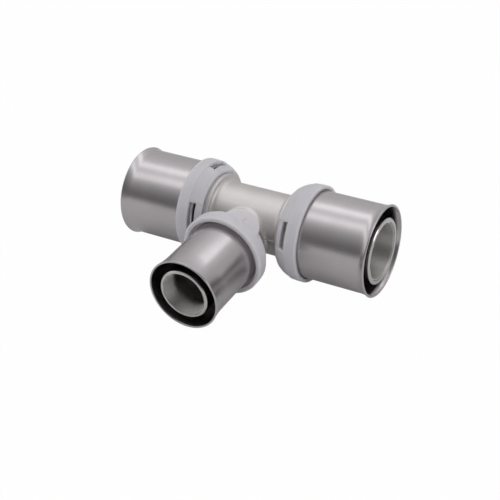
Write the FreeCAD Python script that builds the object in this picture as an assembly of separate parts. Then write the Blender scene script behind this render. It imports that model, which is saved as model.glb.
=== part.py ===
import FreeCAD, Part
import math
import os

os.makedirs("parts", exist_ok=True)

# Reducing press tee for multilayer pipe.
# Millimetres. The run lies along X, the branch points to -Y, and the origin is where the two axes cross.
# Each port is drawn along its own axis: s is the distance from the tee's centre, r the distance from the axis.

V = FreeCAD.Vector

# Pipes that the tee joins
run_pipe_od = 32.0
run_pipe_wall = 3.0
branch_pipe_od = 25.0
branch_pipe_wall = 2.5

# Fits, all radial unless the name says otherwise
pipe_bore_fit = 0.15
pipe_socket_fit = 0.25
collar_on_shoulder_fit = 0.05
collar_on_nipple_fit = 0.10
collar_on_sleeve_fit = 0.05

# Body walls
run_groove_floor = 0.7
branch_groove_floor = 0.65
run_body_wall = 1.5
branch_body_wall = 1.6
body_blend_r = 2.1

# Forging's parting ridge
ridge_height = 0.45
ridge_width = 1.7

# Shoulders that carry the collars, each set off from the wall of the other port's tube
run_neck = 5.5
branch_neck = 4.75
shoulder_rise = 2.05
shoulder_length = 2.9
shoulder_neck_r = 2.2
shoulder_edge_r = 0.45
shoulder_shown = 1.65

# Snap groove in the shoulder and bead in the collar
snap_depth = 0.3
snap_width = 0.4
snap_from_rear = 0.2

# Collars
web_thickness = 0.9
collar_reach = 7.5
window_length = 2.6
window_angle = 34.0
window_ramp_angle = 2.6
collar_quarters = 4
mouth_depth = 2.6
run_mouth_gap = 0.6
branch_mouth_gap = 1.4
run_lip_wall = 1.3
branch_lip_wall = 1.8
band_step = 0.45
band_crown = 0.15
lip_edge_r = 0.55
rear_edge_r = 0.35
run_rear_wall = 1.4
branch_rear_wall = 1.25
lobe_rise = 0.4
taper_bulge = 0.3

# Round pad of the branch collar, and the mark that the moulding gate leaves on every collar
pad_r = 7.15
pad_proud = 0.1
pad_over_shoulder = 0.2
pad_edge_r = 0.8
gate_mark_r = 1.6
gate_mark_depth = 0.4
gate_mark_from_band = 1.2

# Angle of each collar's quarter without a window, about its port's axis
right_collar_turn = 65.0
left_collar_turn = 289.0
branch_collar_turn = 62.5

# Sleeves
run_sleeve_wall = 0.95
branch_sleeve_wall = 0.75
run_length = 53.4
branch_length = 55.2
sleeve_setback = 1.3
run_flare = 0.75
run_flare_length = 3.6
branch_flare = 0.75
branch_flare_length = 7.5
sleeve_bead = 0.4
sleeve_bead_at = 2.5

# Nipples, placed from the pipe's stop
run_nipple_short = 0.1
branch_nipple_short = 0.5
nipple_edge = 0.3
run_mouth_widening = 0.45
run_mouth_taper = 0.6
branch_mouth_widening = 0.75
branch_mouth_taper = 4.0
root_land = 4.6
groove_land = 3.0
barb_start = 14.2
barb_count = 5
barb_pitch = 2.6
barb_depth = 0.45

# O-rings
run_cord = 1.6
branch_cord = 1.5
cord_proud = 0.2
groove_width_share = 1.35


def port(name, pipe_od, pipe_wall, details):
    """Collect a port's own sizes and the radii that follow from them."""
    p = dict(details)
    p["name"] = name
    p["nipple_r"] = pipe_od / 2 - pipe_wall - pipe_bore_fit
    p["groove_r"] = p["nipple_r"] + cord_proud - p["cord"]
    p["waterway_r"] = p["groove_r"] - p["groove_floor"]
    p["tube_r"] = p["waterway_r"] + p["body_wall"]
    p["socket_r"] = pipe_od / 2 + pipe_socket_fit
    p["sleeve_r"] = p["socket_r"] + p["sleeve_wall"]
    p["shoulder_r"] = p["nipple_r"] + shoulder_rise
    p["mouth_r"] = p["sleeve_r"] + p["mouth_gap"]
    p["band_r"] = p["mouth_r"] + p["lip_wall"]
    p["rear_in_r"] = p["shoulder_r"] + collar_on_shoulder_fit
    p["rear_r"] = p["rear_in_r"] + p["rear_wall"]
    p["step_r"] = p["band_r"] - band_crown - band_step
    return p


def set_along(p, other, neck, length):
    """Add the places along a port's axis, which start from the other port's tube."""
    p["length"] = length
    p["shoulder_s"] = other["tube_r"] + neck
    p["shoulder_end"] = p["shoulder_s"] + shoulder_length
    p["rear_s"] = p["shoulder_s"] + shoulder_shown
    p["stop_s"] = p["shoulder_end"] + web_thickness
    p["sleeve_s"] = p["stop_s"] + sleeve_setback
    p["window_end"] = p["stop_s"] + window_length
    p["mouth_s"] = p["stop_s"] + collar_reach
    p["pad_s"] = (p["rear_s"] + p["mouth_s"]) / 2
    p["nipple_end"] = length - p["nipple_short"]
    p["groove_width"] = p["cord"] * groove_width_share
    p["grooves"] = [p["stop_s"] + root_land]
    p["grooves"].append(p["grooves"][0] + p["groove_width"] + groove_land)


run_details = {
    "groove_floor": run_groove_floor,
    "body_wall": run_body_wall,
    "sleeve_wall": run_sleeve_wall,
    "flare": run_flare,
    "flare_length": run_flare_length,
    "mouth_gap": run_mouth_gap,
    "lip_wall": run_lip_wall,
    "rear_wall": run_rear_wall,
    "has_pad": False,
    "cord": run_cord,
    "nipple_short": run_nipple_short,
    "mouth_widening": run_mouth_widening,
    "mouth_taper": run_mouth_taper,
}
branch_details = {
    "groove_floor": branch_groove_floor,
    "body_wall": branch_body_wall,
    "sleeve_wall": branch_sleeve_wall,
    "flare": branch_flare,
    "flare_length": branch_flare_length,
    "mouth_gap": branch_mouth_gap,
    "lip_wall": branch_lip_wall,
    "rear_wall": branch_rear_wall,
    "has_pad": True,
    "cord": branch_cord,
    "nipple_short": branch_nipple_short,
    "mouth_widening": branch_mouth_widening,
    "mouth_taper": branch_mouth_taper,
}
run = port("run", run_pipe_od, run_pipe_wall, run_details)
branch = port("branch", branch_pipe_od, branch_pipe_wall, branch_details)
set_along(run, branch, run_neck, run_length)
set_along(branch, run, branch_neck, branch_length)


def outline(points):
    """Closed wire in the s-r half plane. A point is (s, r), or (s, r, mid_s, mid_r) to reach it by an arc."""
    edges = []
    last = points[0]
    for q in points[1:] + [points[0]]:
        a = V(last[0], last[1], 0)
        b = V(q[0], q[1], 0)
        if a.distanceToPoint(b) > 1e-6:
            if len(q) == 4:
                edges.append(Part.Arc(a, V(q[2], q[3], 0), b).toShape())
            else:
                edges.append(Part.makeLine(a, b))
        last = q
    return Part.Face(Part.Wire(edges))


def turned(points, angle=360.0, start=0.0):
    """Turn an outline about the port's axis, all round or over part of the circle."""
    solid = outline(points).revolve(V(0, 0, 0), V(1, 0, 0), angle)
    if start:
        solid.rotate(V(0, 0, 0), V(1, 0, 0), start)
    return solid


def quarter(centre_s, centre_r, radius, at_degrees):
    """A point on a rounding, for the middle of an arc."""
    a = math.radians(at_degrees)
    return centre_s + radius * math.cos(a), centre_r + radius * math.sin(a)


def place(solid, side, turn=0.0):
    """Turn a port's solid about its own axis and bring it to its place on the tee."""
    solid = solid.copy()
    solid.rotate(V(0, 0, 0), V(1, 0, 0), turn)
    if side == "left":
        solid.rotate(V(0, 0, 0), V(0, 0, 1), 180)
    if side == "branch":
        solid.rotate(V(0, 0, 0), V(0, 0, 1), -90)
    return solid


def nipple_points(p):
    """Outline of a shoulder and its nipple, from the tube's wall to the nipple's end."""
    neck_r = min(shoulder_neck_r, p["shoulder_r"] - shoulder_edge_r - p["tube_r"])
    neck_s = p["shoulder_s"] - neck_r
    mid = quarter(neck_s, p["tube_r"] + neck_r, neck_r, -45)
    pts = [(neck_s - 1.0, 0), (neck_s - 1.0, p["tube_r"]), (neck_s, p["tube_r"])]
    pts.append((p["shoulder_s"], p["tube_r"] + neck_r, mid[0], mid[1]))
    edge_r = p["shoulder_r"] - shoulder_edge_r
    pts.append((p["shoulder_s"], edge_r))
    mid = quarter(p["shoulder_s"] + shoulder_edge_r, edge_r, shoulder_edge_r, 135)
    pts.append((p["shoulder_s"] + shoulder_edge_r, p["shoulder_r"], mid[0], mid[1]))
    snap = p["rear_s"] + snap_from_rear
    pts.append((snap, p["shoulder_r"]))
    pts.append((snap + snap_depth, p["shoulder_r"] - snap_depth))
    pts.append((snap + snap_depth + snap_width, p["shoulder_r"] - snap_depth))
    pts.append((snap + snap_depth + snap_width, p["shoulder_r"]))
    pts.append((p["shoulder_end"], p["shoulder_r"]))
    pts.append((p["shoulder_end"], p["nipple_r"]))
    for g in p["grooves"]:
        pts.append((g, p["nipple_r"]))
        pts.append((g, p["groove_r"]))
        pts.append((g + p["groove_width"], p["groove_r"]))
        pts.append((g + p["groove_width"], p["nipple_r"]))
    s = p["stop_s"] + barb_start
    pts.append((s, p["nipple_r"]))
    for i in range(barb_count):
        pts.append((s + (i + 1) * barb_pitch, p["nipple_r"] - barb_depth))
        pts.append((s + (i + 1) * barb_pitch, p["nipple_r"]))
    pts.append((p["nipple_end"] - nipple_edge, p["nipple_r"]))
    pts.append((p["nipple_end"], p["nipple_r"] - nipple_edge))
    pts.append((p["nipple_end"], 0))
    return pts


def bore_points(p, both_ways):
    """Outline of a waterway with its tapered mouth, from the tee's centre or right through the run."""
    r = p["waterway_r"]
    wide_r = r + p["mouth_widening"]
    end = p["nipple_end"]
    mouth = [(end - p["mouth_taper"], r), (end, wide_r), (end + 1, wide_r), (end + 1, 0)]
    if both_ways:
        return [(-s, q) for s, q in reversed(mouth)] + mouth
    return [(0, 0), (0, r)] + mouth


def make_tee_body():
    """Forged tube and neck, blended where they meet, with turned nipples, a parting ridge and bored waterways."""
    half = run["shoulder_s"] - 0.5
    tube = Part.makeCylinder(run["tube_r"], 2 * half, V(-half, 0, 0), V(1, 0, 0))
    neck = Part.makeCylinder(branch["tube_r"], branch["shoulder_s"] - 0.5, V(0, 0, 0), V(0, -1, 0))
    core = tube.fuse(neck).removeSplitter()
    joint = []
    for e in core.Edges:
        points = e.discretize(7)
        on_tube = max(abs(math.hypot(q.y, q.z) - run["tube_r"]) for q in points) < 0.05
        on_neck = max(abs(math.hypot(q.x, q.z) - branch["tube_r"]) for q in points) < 0.05
        if on_tube and on_neck and points[0].y < 0:
            joint.append(e)
    core = core.makeFillet(body_blend_r, joint)
    for side, p in (("right", run), ("left", run), ("branch", branch)):
        core = core.fuse(place(turned(nipple_points(p)), side))
    core = core.fuse(make_ridge())
    core = core.cut(turned(bore_points(run, True)))
    return core.cut(place(turned(bore_points(branch, False)), "branch"))


def make_ridge():
    """Trimmed flash line of the forging, in the plane of the two axes."""
    out_y = run["tube_r"] + ridge_height
    out_x = branch["tube_r"] + ridge_height
    end_x = run["shoulder_s"] - shoulder_neck_r + 0.9
    end_y = branch["shoulder_s"] + 0.2
    r = body_blend_r - ridge_height
    k = r * (1 - math.sqrt(0.5))
    z = -ridge_width / 2
    edges = []

    def line(x0, y0, x1, y1):
        edges.append(Part.makeLine(V(x0, y0, z), V(x1, y1, z)))

    line(-end_x, out_y, end_x, out_y)
    line(end_x, out_y, end_x, -out_y)
    line(end_x, -out_y, out_x + r, -out_y)
    edges.append(Part.Arc(V(out_x + r, -out_y, z), V(out_x + k, -out_y - k, z), V(out_x, -out_y - r, z)).toShape())
    line(out_x, -out_y - r, out_x, -end_y)
    line(out_x, -end_y, -out_x, -end_y)
    line(-out_x, -end_y, -out_x, -out_y - r)
    edges.append(Part.Arc(V(-out_x, -out_y - r, z), V(-out_x - k, -out_y - k, z), V(-out_x - r, -out_y, z)).toShape())
    line(-out_x - r, -out_y, -end_x, -out_y)
    line(-end_x, -out_y, -end_x, out_y)
    plate = Part.Face(Part.Wire(edges)).extrude(V(0, 0, ridge_width))
    return plate


def make_sleeve(p):
    """Thin tube, flared and rounded at the mouth, with a rolled bead that the collar holds."""
    s0 = p["sleeve_s"]
    s1 = p["length"]
    r0 = p["socket_r"]
    r1 = p["sleeve_r"]
    wall = r1 - r0
    f = p["flare"]
    fs = s1 - p["flare_length"]
    mid_s = (fs + s1) / 2
    edge = wall / 2
    bead_s = s0 + sleeve_bead_at
    b = sleeve_bead
    pts = [(s0, r0), (s0, r1)]
    pts.append((bead_s - 1.5 * b, r1))
    pts.append((bead_s + 1.5 * b, r1, bead_s, r1 + b))
    pts.append((fs, r1))
    pts.append((s1 - edge, r1 + f, mid_s, r1 + 0.3 * f))
    pts.append((s1 - edge, r0 + f, s1, r0 + f + edge))
    pts.append((fs, r0, mid_s, r0 + 0.3 * f))
    pts.append((bead_s + 1.5 * b, r0))
    pts.append((bead_s - 1.5 * b, r0, bead_s, r0 + b))
    return turned(pts)


def collar_inside(p):
    """Bore of a collar from its mouth to its rear rim, as points."""
    seat_r = p["sleeve_r"] + collar_on_sleeve_fit
    b = sleeve_bead
    bead_s = p["sleeve_s"] + sleeve_bead_at
    web_r = p["nipple_r"] + collar_on_nipple_fit
    land_end = p["mouth_s"] - mouth_depth
    snap = p["rear_s"] + snap_from_rear
    rise = snap_depth - 0.05
    chamfer = 0.3
    return [
        (p["mouth_s"], p["mouth_r"]),
        (land_end, p["mouth_r"]),
        (land_end, seat_r + chamfer),
        (land_end - chamfer, seat_r),
        (bead_s + 1.5 * b, seat_r),
        (bead_s - 1.5 * b, seat_r, bead_s, seat_r + b),
        (p["sleeve_s"], seat_r),
        (p["sleeve_s"], p["socket_r"]),
        (p["stop_s"], p["socket_r"]),
        (p["stop_s"], web_r),
        (p["shoulder_end"], web_r),
        (p["shoulder_end"], p["rear_in_r"]),
        (snap + snap_depth + snap_width, p["rear_in_r"]),
        (snap + snap_depth + snap_width, p["rear_in_r"] - rise),
        (snap + snap_depth, p["rear_in_r"] - rise),
        (snap + snap_depth - rise, p["rear_in_r"]),
        (p["rear_s"], p["rear_in_r"]),
    ]


def collar_taper(p, rise):
    """Tapered rear of a collar, from its rear rim to the band's step. The rise lifts it."""
    rear = p["rear_r"] + rise
    step = p["step_r"] + rise / 2
    mid = quarter(p["rear_s"] + rear_edge_r, rear - rear_edge_r, rear_edge_r, 135)
    bulge_s = (p["rear_s"] + p["window_end"]) / 2
    bulge_r = (rear + step) / 2 + taper_bulge
    return [
        (p["rear_s"], rear - rear_edge_r),
        (p["rear_s"] + rear_edge_r, rear, mid[0], mid[1]),
        (p["window_end"], step, bulge_s, bulge_r),
    ]


def collar_band(p):
    """Crowned band of a collar, from its step to the rounded lip of the mouth."""
    edge = p["band_r"] - lip_edge_r
    mid = quarter(p["mouth_s"] - lip_edge_r, edge, lip_edge_r, 45)
    crown_s = (p["window_end"] + p["mouth_s"]) / 2
    return [
        (p["window_end"], p["band_r"] - band_crown),
        (p["mouth_s"] - lip_edge_r, p["band_r"], crown_s, p["band_r"] - 0.12 * band_crown),
        (p["mouth_s"], edge, mid[0], mid[1]),
    ]


def over_taper(p, rise):
    """Outline of the room over a collar's taper."""
    low = collar_taper(p, rise)
    top = p["band_r"] + 1
    return [(p["rear_s"] - 0.5, low[0][1])] + low + [(p["window_end"], top), (p["rear_s"] - 0.5, top)]


def ramp(p, at, side):
    """Cutter that lets a window's recess run out to the full taper over a small angle."""
    over = 1.5
    near = outline(over_taper(p, 0.0)).OuterWire
    far = outline(over_taper(p, over * lobe_rise)).OuterWire
    near.rotate(V(0, 0, 0), V(1, 0, 0), at)
    far.rotate(V(0, 0, 0), V(1, 0, 0), at + side * over * window_ramp_angle)
    return Part.makeLoft([near, far], True, True)


def make_pad(p):
    """Round pad that wraps the collar's middle, reaches back over the rear rim and has rounded edges."""
    top = p["band_r"] - band_crown + pad_proud
    inner = p["rear_in_r"] + pad_over_shoulder
    in_wall = (p["sleeve_r"] + collar_on_sleeve_fit + p["step_r"]) / 2
    in_web = (p["shoulder_end"] + p["stop_s"]) / 2
    start = p["pad_s"] - pad_r - 1
    end = p["window_end"] + 0.4
    ring = turned([(start, inner), (start, top), (end, top), (end, in_wall), (in_web, in_wall), (in_web, inner)])
    disc = Part.makeCylinder(pad_r, p["band_r"], V(p["pad_s"], 0, 0), V(0, 1, 0))
    pad = ring.common(disc)
    edges = []
    for e in pad.Edges:
        ends_high = min(math.hypot(v.Y, v.Z) for v in e.Vertexes) > top - 0.01
        behind = e.BoundBox.XMin < p["pad_s"] - 0.8 * pad_r
        if ends_high and behind:
            edges.append(e)
    return pad.makeFillet(pad_edge_r, edges)


def make_collar(p):
    """Snap-on collar: a band at the mouth, a tapered rear with windows in three quarters, and an inner web."""
    quarter_turn = 360.0 / collar_quarters
    at = -window_angle / 2
    plain = turned(collar_inside(p) + collar_taper(p, lobe_rise) + collar_band(p), quarter_turn, -quarter_turn / 2)
    recess = turned(over_taper(p, 0.0), window_angle, at)
    windowed = plain.cut([ramp(p, at, -1), recess, ramp(p, at + window_angle, 1)])
    top = p["band_r"] + 1
    slot_r = p["socket_r"] - 1.5
    slot = [(p["stop_s"], slot_r), (p["stop_s"], top), (p["window_end"], top), (p["window_end"], slot_r)]
    windowed = windowed.cut(turned(slot, window_angle, at))
    others = []
    for i in range(1, collar_quarters):
        copy = windowed.copy()
        copy.rotate(V(0, 0, 0), V(1, 0, 0), i * quarter_turn)
        others.append(copy)
    solid = plain.fuse(others).removeSplitter()
    gate_s = p["window_end"] - gate_mark_from_band
    surface_r = p["step_r"] + lobe_rise / 2
    if p["has_pad"]:
        solid = solid.fuse(make_pad(p))
        surface_r = p["band_r"] - band_crown + pad_proud
    gate = Part.makeSphere(gate_mark_r, V(gate_s, surface_r + gate_mark_r - gate_mark_depth, 0))
    return solid.cut(gate)


def make_oring(p, groove_s):
    """O-ring seated on the bottom of its groove."""
    r = p["cord"] / 2
    ring_r = p["groove_r"] + r
    return Part.makeTorus(ring_r, r, V(groove_s + p["groove_width"] / 2, 0, 0), V(1, 0, 0))


def save(node, solid):
    """Check one solid and write it under its node's name."""
    solids = solid.Solids
    if len(solids) != 1 or not solids[0].isValid():
        raise ValueError(node + " is not one sound solid")
    solids[0].exportStep("parts/" + node + ".step")
    print(node, round(solids[0].Volume, 1))


save("tee_body", make_tee_body())
run_collar = make_collar(run)
branch_collar = make_collar(branch)
for side, p, collar, turn in (
    ("right", run, run_collar, right_collar_turn),
    ("left", run, run_collar, left_collar_turn),
    ("branch", branch, branch_collar, branch_collar_turn),
):
    save("sleeve_" + side, place(make_sleeve(p), side))
    save("collar_" + side, place(collar, side, turn))
    for label, groove_s in zip(("inner", "outer"), p["grooves"]):
        save("oring_" + side + "_" + label, place(make_oring(p, groove_s), side))
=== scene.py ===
# %% [markdown]
# # A press tee for multilayer pipe
# The object is a plumbing fitting with three ports. A forged and plated brass body carries
# three barbed nipples. Over each nipple sits a thin stainless sleeve, held by a moulded collar
# with windows, through which the fitter sees that the pipe is fully in.
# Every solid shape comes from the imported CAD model, so this lesson is about finish and light.

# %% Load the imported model
import math

import bpy
from mathutils import Matrix, Vector


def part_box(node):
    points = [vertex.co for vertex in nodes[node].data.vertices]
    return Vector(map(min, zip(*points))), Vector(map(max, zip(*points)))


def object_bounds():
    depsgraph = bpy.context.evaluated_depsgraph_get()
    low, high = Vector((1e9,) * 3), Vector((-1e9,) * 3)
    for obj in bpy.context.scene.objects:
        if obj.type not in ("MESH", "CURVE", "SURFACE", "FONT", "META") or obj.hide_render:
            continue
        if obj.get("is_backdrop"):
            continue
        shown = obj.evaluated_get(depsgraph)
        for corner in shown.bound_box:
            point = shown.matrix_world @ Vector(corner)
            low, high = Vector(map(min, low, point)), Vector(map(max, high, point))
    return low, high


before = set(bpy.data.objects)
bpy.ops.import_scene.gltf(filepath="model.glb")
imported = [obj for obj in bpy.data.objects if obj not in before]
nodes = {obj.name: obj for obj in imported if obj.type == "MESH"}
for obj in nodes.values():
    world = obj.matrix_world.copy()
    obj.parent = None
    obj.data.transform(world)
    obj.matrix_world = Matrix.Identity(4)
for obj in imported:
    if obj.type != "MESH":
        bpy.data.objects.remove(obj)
cad_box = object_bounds()
print("nodes:", len(nodes))

# %% [markdown]
# ## Where the tee rests
# Set down on a table, the tee stands on its two large collars and tips forward until the
# branch's flared mouth touches. The floor is therefore a plane that leans a few degrees
# against the run. Its tilt follows from the CAD boxes of a collar and of the branch's sleeve.

# %% Rest plane
collar_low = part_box("collar_right")[0].z
mouth_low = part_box("sleeve_branch")[0]
rim_rounding = 0.0004
mouth_reach = -mouth_low.y - rim_rounding
rest_tilt = math.atan2(mouth_low.z - collar_low, mouth_reach)
floor_normal = Vector((0, math.sin(rest_tilt), math.cos(rest_tilt)))
floor_point = Vector((0, 0, collar_low / math.cos(rest_tilt)))
print("rest tilt in degrees:", round(math.degrees(rest_tilt), 2))

# %% [markdown]
# ## Camera
# The photograph was solved for its camera: the ellipses of the rims, nipples and collars fix
# where it stood. Three unit vectors say how it was held, and they are the columns of its matrix.

# %% Camera
camera_data = bpy.data.cameras.new("camera")
camera = bpy.data.objects.new("camera", camera_data)
bpy.context.scene.collection.objects.link(camera)
camera_place = Vector((0.185223, -0.306302, 0.231223))
camera_right = Vector((0.868259, 0.492950, -0.055918))
camera_up = Vector((-0.239852, 0.515761, 0.822473))
camera_back = Vector((0.434278, -0.700707, 0.566050))
turn = Matrix((camera_right, camera_up, camera_back)).transposed().to_4x4()
camera.matrix_world = Matrix.Translation(camera_place) @ turn
camera_data.sensor_width = 36.0
camera_data.lens = 78.0
camera_data.clip_start = 0.01
camera_data.clip_end = 10.0
bpy.context.scene.camera = camera
print("camera distance:", round(camera_place.length, 3))


# %% [markdown]
# ## Node helpers
# Every finish below is a small network of shader nodes. These helpers add a node, set its
# values and join it up, so that each finish reads as a short list of what it is made of.

# %% Shader helpers
def new_finish(name):
    """A material with an empty principled shader. Returns the material, its tree and the shader."""
    finish = bpy.data.materials.new(name)
    finish.use_nodes = True
    tree = finish.node_tree
    tree.nodes.clear()
    shader = tree.nodes.new("ShaderNodeBsdfPrincipled")
    out = tree.nodes.new("ShaderNodeOutputMaterial")
    tree.links.new(shader.outputs["BSDF"], out.inputs["Surface"])
    return finish, tree, shader


def place_on_part(tree, stretch):
    """The part's own coordinates, stretched along its axes to set the size of a pattern."""
    where = tree.nodes.new("ShaderNodeTexCoord")
    sized = tree.nodes.new("ShaderNodeMapping")
    sized.inputs["Scale"].default_value = stretch
    tree.links.new(where.outputs["Object"], sized.inputs["Vector"])
    return sized.outputs["Vector"]


def noise(tree, where, scale, detail):
    """Cloudy noise: the greater the scale the smaller the clouds, and detail adds finer ones."""
    clouds = tree.nodes.new("ShaderNodeTexNoise")
    clouds.inputs["Scale"].default_value = scale
    clouds.inputs["Detail"].default_value = detail
    clouds.inputs["Roughness"].default_value = 0.55
    tree.links.new(where, clouds.inputs["Vector"])
    return clouds.outputs["Fac"]


# Noise rarely leaves this span, so its ends count as the noise's darkest and lightest.
noise_span = (0.3, 0.7)


def spread(tree, value, low, high, span=noise_span):
    """Stretch a value that runs over a span until it runs from low to high, and no further."""
    stretched = tree.nodes.new("ShaderNodeMapRange")
    for socket, number in zip(("From Min", "From Max", "To Min", "To Max"), (*span, low, high)):
        stretched.inputs[socket].default_value = number
    tree.links.new(value, stretched.inputs["Value"])
    return stretched.outputs["Result"]


def tint(tree, value, dark, light):
    """Colours between a dark and a light tone, chosen by a value."""
    ramp = tree.nodes.new("ShaderNodeValToRGB")
    for stop, at, tone in zip(ramp.color_ramp.elements, noise_span, (dark, light)):
        stop.position = at
        stop.color = (*tone, 1)
    tree.links.new(value, ramp.inputs["Fac"])
    return ramp.outputs["Color"]


def bump(tree, height, strength, distance, base=None):
    """Small relief from a height, on top of another relief if one is given."""
    relief = tree.nodes.new("ShaderNodeBump")
    relief.inputs["Strength"].default_value = strength
    relief.inputs["Distance"].default_value = distance
    tree.links.new(height, relief.inputs["Height"])
    if base is not None:
        tree.links.new(base, relief.inputs["Normal"])
    return relief.outputs["Normal"]


print("noise counts from", noise_span[0], "to", noise_span[1])

# %% [markdown]
# ## Stainless sleeve
# The sleeve is drawn from sheet and turned at the mouth, which leaves fine rings round it and
# a soft sheen. Slow waves in the sheet make the streaks of light waver a little. The rings are
# noise squeezed along the port's axis, so a finish is made once for the run and once for the
# branch.

# %% Stainless finish
def stainless(name, along_x):
    """Satin sheet metal, with rings round the X axis or else round the Y axis."""
    finish, tree, shader = new_finish(name)
    fine, slow = 1100.0, 20.0
    rings = place_on_part(tree, (fine, slow, slow) if along_x else (slow, fine, slow))
    cloud = place_on_part(tree, (1.0, 1.0, 1.0))
    brushed = noise(tree, rings, 1.0, 2.0)
    handled = noise(tree, cloud, 90.0, 5.0)
    wavy = noise(tree, cloud, 220.0, 2.0)
    steel = tint(tree, handled, (0.535, 0.507, 0.522), (0.575, 0.547, 0.562))
    tree.links.new(steel, shader.inputs["Base Color"])
    tree.links.new(spread(tree, brushed, 0.238, 0.248), shader.inputs["Roughness"])
    waves = bump(tree, wavy, 0.30, 0.00004)
    tree.links.new(bump(tree, brushed, 0.008, 0.00001, waves), shader.inputs["Normal"])
    shader.inputs["Metallic"].default_value = 1.0
    return finish


run_steel = stainless("stainless_run", True)
branch_steel = stainless("stainless_branch", False)
print("sleeve finishes:", run_steel.name, branch_steel.name)

# %% [markdown]
# ## Plated brass body
# The body is forged, so its skin has a very fine orange peel. The three nipples and the bores
# are then turned on a lathe, and the whole is barrel plated with nickel. So one piece of metal
# shows two finishes: a satin skin and much smoother turned faces. A mask tells them apart by
# where they are. Turned metal lies far out along a port, or close to a port's axis.
# The run's bore and the first few millimetres of the branch's are reamed, and the reamer's marks
# spread light along the axis. That is why those walls look grey, while the smooth bore deep in
# the branch mirrors only itself and looks black. All bores also get a lighter plate colour than
# the outside, which is painted light standing in for the light that gets inside them.

# %% Turned or forged
# Each mask goes from 0 to 1 between two distances in metres, measured on the CAD body.
nipple_from = (0.0205, 0.0210)
run_bore_within = (0.0116, 0.0114)
branch_bore_within = (0.0090, 0.0088)
branch_from = (0.0128, 0.0132)


def measured(tree, along):
    """How far a point lies from the origin, counting only the axes that are set to 1."""
    size = tree.nodes.new("ShaderNodeVectorMath")
    size.operation = "LENGTH"
    tree.links.new(place_on_part(tree, along), size.inputs[0])
    return size.outputs["Value"]


def step_up(tree, value, start, end):
    """0 below the start and 1 past the end. It falls instead where the end is the smaller."""
    return spread(tree, value, 0.0, 1.0, (start, end))


def math_node(tree, operation, *values):
    """A math node on one or two values. Each is a decimal number or a node's output."""
    node = tree.nodes.new("ShaderNodeMath")
    node.operation = operation
    for socket, value in zip(node.inputs, values):
        if isinstance(value, float):
            socket.default_value = value
        else:
            tree.links.new(value, socket)
    return node.outputs["Value"]


def times(tree, a, b):
    """The product of two values."""
    return math_node(tree, "MULTIPLY", a, b)


def greater(tree, a, b):
    """The greater of two values. Of two masks, it is 1 where either is."""
    return math_node(tree, "MAXIMUM", a, b)


def opposite(tree, mask):
    """1 where a mask is 0, and 0 where it is 1."""
    return step_up(tree, mask, 1.0, 0.0)


def mixed(tree, share, first, second, kind="FLOAT"):
    """Two values or colours mixed by a share."""
    mix = tree.nodes.new("ShaderNodeMix")
    mix.data_type = kind
    slot = {"FLOAT": 2, "RGBA": 6}[kind]
    tree.links.new(share, mix.inputs[0])
    tree.links.new(first, mix.inputs[slot])
    tree.links.new(second, mix.inputs[slot + 1])
    return [output for output in mix.outputs if output.enabled][0]


def turned_shares(tree):
    """Masks of turned metal, of bores alone and of the branch. Last, the way along a port."""
    along_x = measured(tree, (1, 0, 0))
    along_y = measured(tree, (0, 1, 0))
    far_out = [step_up(tree, way, *nipple_from) for way in (along_x, along_y)]
    nipples = greater(tree, *far_out)
    in_run = step_up(tree, measured(tree, (0, 1, 1)), *run_bore_within)
    in_branch = step_up(tree, measured(tree, (1, 0, 1)), *branch_bore_within)
    on_branch = step_up(tree, along_y, *branch_from)
    bores = greater(tree, in_run, times(tree, in_branch, on_branch))
    return greater(tree, nipples, bores), bores, on_branch, mixed(tree, on_branch, along_x, along_y)


print("nipples start", nipple_from[1], "m out, and the run's bore is within", run_bore_within[1])


# %% Plated brass finish
# Where the branch's bore starts to be reamed, and how strongly the marks stretch reflections.
reamed_from = (0.0468, 0.0496)
marks_stretch = 0.96


def lathe_rings(tree, way, per_metre):
    """Fine rings round a port, from noise along its axis alone."""
    rings = tree.nodes.new("ShaderNodeTexNoise")
    rings.noise_dimensions = "1D"
    rings.inputs["Scale"].default_value = per_metre
    rings.inputs["Detail"].default_value = 3.0
    tree.links.new(way, rings.inputs["W"])
    return rings.outputs["Fac"]


nickel, tree, shader = new_finish("nickel_plate")
turned, bores, on_branch, way = turned_shares(tree)
cloud = place_on_part(tree, (1.0, 1.0, 1.0))
peel = noise(tree, cloud, 1500.0, 3.0)
patch = noise(tree, cloud, 120.0, 4.0)
tool_marks = lathe_rings(tree, way, 2200.0)
skin = tint(tree, patch, (0.645, 0.62, 0.61), (0.70, 0.678, 0.67))
bright = tint(tree, tool_marks, (0.59, 0.575, 0.57), (0.64, 0.625, 0.62))
# The bores get a much lighter plate tone than the turned faces outside: painted light for light
# reaching into the bores.
bore_painted_light = tint(tree, tool_marks, (0.76, 0.74, 0.73), (0.84, 0.82, 0.81))
outside = mixed(tree, turned, skin, bright, "RGBA")
tree.links.new(mixed(tree, bores, outside, bore_painted_light, "RGBA"), shader.inputs["Base Color"])
on_run = opposite(tree, on_branch)
reamed = greater(tree, step_up(tree, way, *reamed_from), on_run)
skin_rough = spread(tree, patch, 0.43, 0.50)
nipple_rough = spread(tree, tool_marks, 0.15, 0.19)
deep_rough = spread(tree, tool_marks, 0.28, 0.33)
reamed_rough = spread(tree, tool_marks, 0.52, 0.60)
outside_rough = mixed(tree, turned, skin_rough, nipple_rough)
bore_rough = mixed(tree, reamed, deep_rough, reamed_rough)
tree.links.new(mixed(tree, bores, outside_rough, bore_rough), shader.inputs["Roughness"])
tree.links.new(times(tree, times(tree, bores, reamed), marks_stretch), shader.inputs["Anisotropic"])
port_axis = tree.nodes.new("ShaderNodeCombineXYZ")
tree.links.new(on_run, port_axis.inputs["X"])
tree.links.new(on_branch, port_axis.inputs["Y"])
tree.links.new(port_axis.outputs["Vector"], shader.inputs["Tangent"])
skin_relief = bump(tree, times(tree, peel, opposite(tree, turned)), 0.18, 0.00006)
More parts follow.
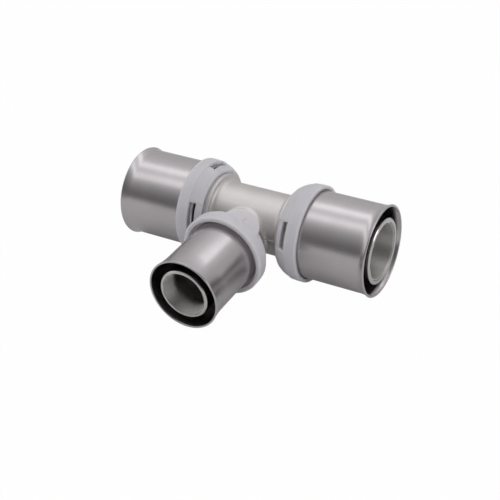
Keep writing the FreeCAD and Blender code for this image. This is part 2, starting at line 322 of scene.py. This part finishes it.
ring_relief = bump(tree, times(tree, tool_marks, bores), 0.3, 0.00005, skin_relief)
tree.links.new(ring_relief, shader.inputs["Normal"])
shader.inputs["Metallic"].default_value = 1.0
print(nickel.name, "nodes:", len(tree.nodes))

# %% [markdown]
# ## Moulded collar
# The collar is a tough, slightly milky plastic. Light goes a little way in, so its edges look
# soft. A faint mould texture and slow colour drift keep it from looking like a flat paint.

# %% Collar plastic
plastic, tree, shader = new_finish("collar_plastic")
cloud = place_on_part(tree, (1.0, 1.0, 1.0))
grain = noise(tree, cloud, 2200.0, 2.0)
drift = noise(tree, cloud, 70.0, 3.0)
pale_grey = tint(tree, drift, (0.635, 0.615, 0.65), (0.675, 0.655, 0.69))
tree.links.new(pale_grey, shader.inputs["Base Color"])
tree.links.new(spread(tree, drift, 0.42, 0.52), shader.inputs["Roughness"])
tree.links.new(bump(tree, grain, 0.10, 0.00005), shader.inputs["Normal"])
shader.inputs["Subsurface Weight"].default_value = 0.8
shader.inputs["Subsurface Radius"].default_value = (1.0, 0.94, 0.88)
shader.inputs["Subsurface Scale"].default_value = 0.005
print(plastic.name, "nodes:", len(tree.nodes))

# %% [markdown]
# ## O-ring rubber
# Black moulded rubber: almost no colour, a dull sheen and a fine grain.

# %% Rubber
rubber, tree, shader = new_finish("seal_rubber")
cloud = place_on_part(tree, (1.0, 1.0, 1.0))
grain = noise(tree, cloud, 3000.0, 2.0)
black = tint(tree, grain, (0.012, 0.012, 0.013), (0.022, 0.022, 0.024))
tree.links.new(black, shader.inputs["Base Color"])
tree.links.new(spread(tree, grain, 0.45, 0.6), shader.inputs["Roughness"])
tree.links.new(bump(tree, grain, 0.15, 0.00004), shader.inputs["Normal"])
print(rubber.name, "nodes:", len(tree.nodes))

# %% [markdown]
# ## Give each piece its finish
# The CAD pieces stay as they are. Each gets its finish in its own material slot.

# %% Assign finishes
for name, piece in nodes.items():
    if name.startswith("sleeve"):
        finish = branch_steel if name.endswith("branch") else run_steel
    elif name.startswith("collar"):
        finish = plastic
    elif name.startswith("oring"):
        finish = rubber
    else:
        finish = nickel
    piece.data.materials.clear()
    piece.data.materials.append(finish)
    print(name, "->", finish.name)

# %% [markdown]
# ## Floor
# A plain white table. It takes the tee's soft shadow. The camera sees it as bright as the
# backdrop, and metal mirrors a little of that. So a share of plain white is mixed in for those
# two kinds of ray, while all other light meets the table's own paint.

# %% Floor
floor_half = 1.5
floor_for_camera = 0.985
floor_in_mirrors = 0.07
across = floor_normal.orthogonal().normalized()
along = floor_normal.cross(across)
signs = ((-1, -1), (1, -1), (1, 1), (-1, 1))
corners = [floor_point + floor_half * (a * across + b * along) for a, b in signs]
floor_mesh = bpy.data.meshes.new("floor")
floor_mesh.from_pydata([tuple(corner) for corner in corners], [], [(0, 1, 2, 3)])
floor = bpy.data.objects.new("floor", floor_mesh)
bpy.context.scene.collection.objects.link(floor)


def white_for_some_rays(tree, own, camera_share, mirror_share, glow):
    """Mix plain white over a shader, by one share for the camera and another for reflections."""
    rays = tree.nodes.new("ShaderNodeLightPath")
    mirrored = greater(tree, rays.outputs["Is Glossy Ray"], rays.outputs["Is Transmission Ray"])
    share = greater(tree, times(tree, rays.outputs["Is Camera Ray"], camera_share),
                    times(tree, mirrored, mirror_share))
    glow.inputs["Color"].default_value = (1, 1, 1, 1)
    glow.inputs["Strength"].default_value = 1.0
    mix = tree.nodes.new("ShaderNodeMixShader")
    tree.links.new(share, mix.inputs["Fac"])
    tree.links.new(own, mix.inputs[1])
    tree.links.new(glow.outputs[0], mix.inputs[2])
    return mix.outputs["Shader"]


table_white, tree, shader = new_finish("table_white")
shader.inputs["Base Color"].default_value = (0.72, 0.72, 0.72, 1)
shader.inputs["Roughness"].default_value = 0.9
shader.inputs["Specular IOR Level"].default_value = 0.1
glow = tree.nodes.new("ShaderNodeEmission")
painted = shader.outputs["BSDF"]
table_top = white_for_some_rays(tree, painted, floor_for_camera, floor_in_mirrors, glow)
tree.links.new(table_top, tree.nodes["Material Output"].inputs["Surface"])
floor_mesh.materials.append(table_white)
floor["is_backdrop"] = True
print("floor half width:", floor_half, "m, lowest point of the run at", round(floor_point.z, 4))

# %% [markdown]
# ## Soft boxes
# Two long soft boxes hang overhead and behind, and draw two bright streaks along each sleeve.
# They are turned like the camera, not like the tee, so their streaks lie at different heights
# on the left and the right sleeve. A third stands off to the right and lights the run's open
# bore. The fills in front and on the right lift the shaded side of the collars. They are hidden
# from mirrors, so the metal keeps its dark bands there.

# %% Lamps
def soft_box(name, place, aim, size, radiance, along=(1, 0, 0)):
    """A rectangular lamp, set by how bright its face looks. Its long side runs one way."""
    lamp = bpy.data.lights.new(name, "AREA")
    lamp.shape = "RECTANGLE"
    lamp.size, lamp.size_y = size
    lamp.energy = radiance * math.pi * size[0] * size[1]
    holder = bpy.data.objects.new(name, lamp)
    bpy.context.scene.collection.objects.link(holder)
    back = (Vector(place) - Vector(aim)).normalized()
    side = (Vector(along) - back * back.dot(Vector(along))).normalized()
    matrix = Matrix((side, back.cross(side), back)).transposed().to_4x4()
    holder.matrix_world = Matrix.Translation(place) @ matrix
    print(name, "watts:", round(lamp.energy, 2))
    return holder


like_camera = (0.90, 0.43, 0)
past_left_port = (-0.30, 0, 0)
tee = (0, 0, 0)
right_port = (0.05, 0, 0)
soft_box("box_behind", (-0.30, 0.24, 0.62), past_left_port, (1.2, 0.18), 0.65, like_camera)
soft_box("box_overhead", (-0.30, -0.145, 0.60), past_left_port, (1.2, 0.16), 0.50, like_camera)
soft_box("box_right", (0.82, 0.14, 0.36), right_port, (0.4, 0.35), 2.0)
fill_in_front = soft_box("fill_in_front", (0.10, -1.10, 0.45), tee, (1.4, 0.9), 0.85)
fill_on_right = soft_box("fill_on_right", (0.95, -0.30, 0.18), tee, (0.6, 0.5), 1.0)
for fill in (fill_in_front, fill_on_right):
    fill.visible_glossy = False

# %% [markdown]
# ## Room
# The room does the rest, and it is a picture of brightness by direction. By height it is bright
# overhead and behind the tee, where the white backdrop hangs, and dim on the camera's side, so
# round metal turns from light to dark as it does in a small product studio. Sideways the
# backdrop is brightest in its middle, and a bright spot like a window lies far to the right.
# Pale walls stand to the left and right of the camera. The room is turned like the camera and
# the boxes, so its front drifts as one looks from side to side.

# %% Room light
# Degrees from the horizon in front, over the top, to the horizon behind, and the brightness
# there.
by_height = [(0, 0.46), (8, 0.22), (18, 0.13), (30, 0.20), (45, 0.34), (60, 0.50),
             (72, 0.86), (98, 0.86), (118, 0.90), (134, 0.74), (152, 0.60), (180, 0.52)]
# From far left, -1, to far right, 1, and the share of that brightness.
by_side = [(-1.0, 0.62), (-0.75, 0.70), (-0.56, 0.97), (-0.3, 1.08), (0.0, 1.12),
           (0.25, 1.02), (0.5, 0.66), (0.7, 0.46), (0.85, 0.90), (1.0, 2.60)]
# The walls come in between these two places to a side, and from the back to the front.
wall_light = 0.32
wall_to_side = (0.62, 0.92)
wall_to_front = (0.1, -0.2)
# As seen this far to the left, the room faces the way the tee does. Elsewhere its front drifts
# by this share.
room_pivot = 0.33
room_drift = 0.5


def smooth_levels(tree, value, levels, low, high):
    """A smooth curve through pairs of a value and a level."""
    ramp = tree.nodes.new("ShaderNodeValToRGB")
    ramp.color_ramp.interpolation = "B_SPLINE"
    stops = ramp.color_ramp.elements
    while len(stops) < len(levels):
        stops.new(0.5)
    for stop, (at, level) in zip(stops, levels):
        stop.position = (at - low) / (high - low)
        stop.color = (level, level, level, 1)
    tree.links.new(step_up(tree, value, low, high), ramp.inputs["Fac"])
    return ramp.outputs["Color"]


world = bpy.data.worlds.new("studio")
bpy.context.scene.world = world
world.use_nodes = True
tree = world.node_tree
room = tree.nodes["Background"]
room.inputs["Color"].default_value = (1, 1, 1, 1)
direction = tree.nodes.new("ShaderNodeTexCoord")
parted = tree.nodes.new("ShaderNodeSeparateXYZ")
tree.links.new(direction.outputs["Generated"], parted.inputs["Vector"])
sideways, back, up = (parted.outputs[axis] for axis in "XYZ")
drift = times(tree, math_node(tree, "ADD", sideways, room_pivot), room_drift)
in_front = math_node(tree, "SUBTRACT", drift, back)
height = times(tree, math_node(tree, "ARCTAN2", up, in_front), math.degrees(1.0))
at_height = smooth_levels(tree, height, by_height, 0.0, 180.0)
at_side = smooth_levels(tree, sideways, by_side, -1.0, 1.0)
to_side = step_up(tree, math_node(tree, "ABSOLUTE", sideways), *wall_to_side)
walls = times(tree, to_side, step_up(tree, back, *wall_to_front))
level = math_node(tree, "ADD", times(tree, at_height, at_side), times(tree, walls, wall_light))
tree.links.new(level, room.inputs["Strength"])
print("room stops:", len(by_height), "by height,", len(by_side), "by side")

# %% [markdown]
# ## Backdrop
# Behind all this hangs plain white paper. The camera sees nothing else past the table, and
# metal sees a little of it behind the tee.

# %% Backdrop
paper_for_camera = 1.0
paper_behind = (0.1, 0.6)
paper_in_mirrors = times(tree, step_up(tree, back, *paper_behind), 0.1)
glow = tree.nodes.new("ShaderNodeBackground")
bare_room = room.outputs["Background"]
backdrop = white_for_some_rays(tree, bare_room, paper_for_camera, paper_in_mirrors, glow)
tree.links.new(backdrop, tree.nodes["World Output"].inputs["Surface"])
print("world nodes:", len(tree.nodes))

# %% Close
bpy.context.scene.view_settings.view_transform = "Standard"
shown_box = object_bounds()
box_gaps = [(shown - cad).length for shown, cad in zip(shown_box, cad_box)]
print("largest difference between the boxes:", max(box_gaps))
